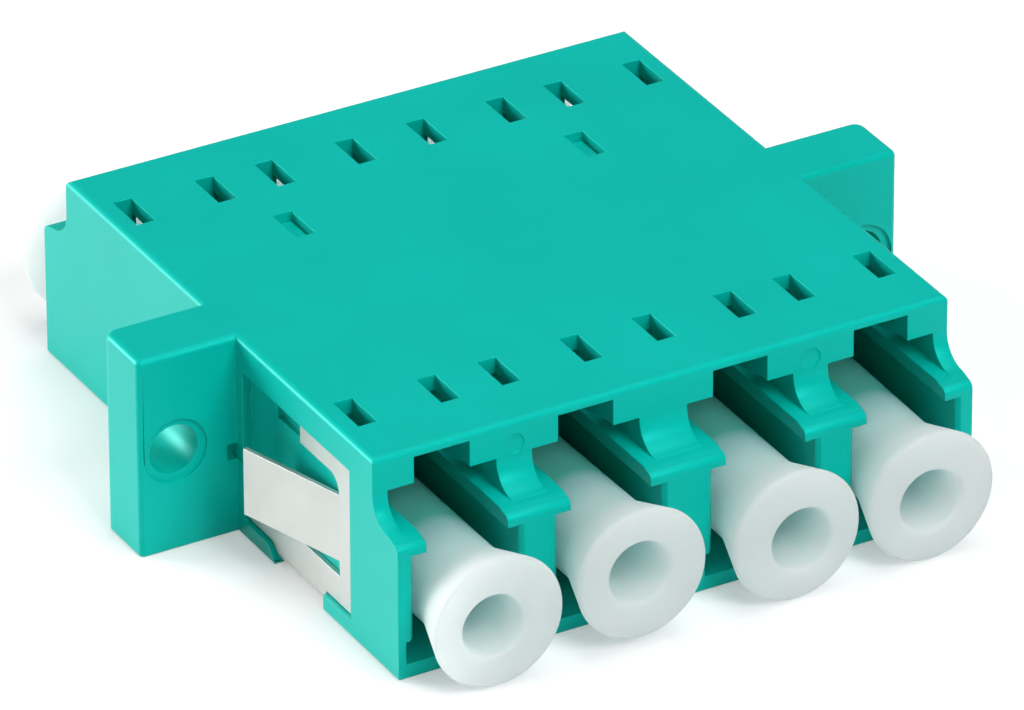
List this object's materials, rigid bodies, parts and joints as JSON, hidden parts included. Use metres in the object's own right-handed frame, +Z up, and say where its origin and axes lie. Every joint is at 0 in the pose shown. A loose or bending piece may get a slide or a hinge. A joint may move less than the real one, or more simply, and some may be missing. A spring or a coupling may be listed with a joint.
{
  "type": "lc fibre adapter",
  "caption": "Flanged LC fibre adapter block in an SC duplex footprint, with alignment sleeves, a spring-steel panel clip and pull-off dust caps.",
  "frame": {"origin": "on the underside, in the middle of the housing", "axes": "+X across the ports, -Y out of the front ports, +Z up to the latch side with the windows"},
  "size_m": [0.0338, 0.0336, 0.0087],
  "materials": {
    "housing_plastic": "satin moulded aqua",
    "carrier_plastic": "satin moulded aqua",
    "clip_steel": "bright stainless spring sheet",
    "sleeve_ceramic": "polished white zirconia",
    "cap_plastic": "translucent natural polyethylene"
  },
  "bodies": {
    "adapter": {"housing": "housing_plastic", "mounting_clip": "clip_steel", "sleeve_carrier_left": "carrier_plastic", "sleeve_carrier_right": "carrier_plastic", "alignment_sleeve_1": "sleeve_ceramic", "alignment_sleeve_2": "sleeve_ceramic", "alignment_sleeve_3": "sleeve_ceramic", "alignment_sleeve_4": "sleeve_ceramic"},
    "front_cap_1": {"front_dust_cap_1": "cap_plastic"},
    "front_cap_2": {"front_dust_cap_2": "cap_plastic"},
    "front_cap_3": {"front_dust_cap_3": "cap_plastic"},
    "front_cap_4": {"front_dust_cap_4": "cap_plastic"},
    "rear_cap_1": {"rear_dust_cap_1": "cap_plastic"},
    "rear_cap_2": {"rear_dust_cap_2": "cap_plastic"},
    "rear_cap_3": {"rear_dust_cap_3": "cap_plastic"},
    "rear_cap_4": {"rear_dust_cap_4": "cap_plastic"}
  },
  "joints": [
    {"name": "front_cap_1_pull", "type": "slide", "parent": "adapter", "child": "front_cap_1", "axis": [0, -1, 0], "range_m": [0, 0.014]},
    {"name": "front_cap_2_pull", "type": "slide", "parent": "adapter", "child": "front_cap_2", "axis": [0, -1, 0], "range_m": [0, 0.014]},
    {"name": "front_cap_3_pull", "type": "slide", "parent": "adapter", "child": "front_cap_3", "axis": [0, -1, 0], "range_m": [0, 0.014]},
    {"name": "front_cap_4_pull", "type": "slide", "parent": "adapter", "child": "front_cap_4", "axis": [0, -1, 0], "range_m": [0, 0.014]},
    {"name": "rear_cap_1_pull", "type": "slide", "parent": "adapter", "child": "rear_cap_1", "axis": [0, 1, 0], "range_m": [0, 0.014]},
    {"name": "rear_cap_2_pull", "type": "slide", "parent": "adapter", "child": "rear_cap_2", "axis": [0, 1, 0], "range_m": [0, 0.014]},
    {"name": "rear_cap_3_pull", "type": "slide", "parent": "adapter", "child": "rear_cap_3", "axis": [0, 1, 0], "range_m": [0, 0.014]},
    {"name": "rear_cap_4_pull", "type": "slide", "parent": "adapter", "child": "rear_cap_4", "axis": [0, 1, 0], "range_m": [0, 0.014]}
  ]
}
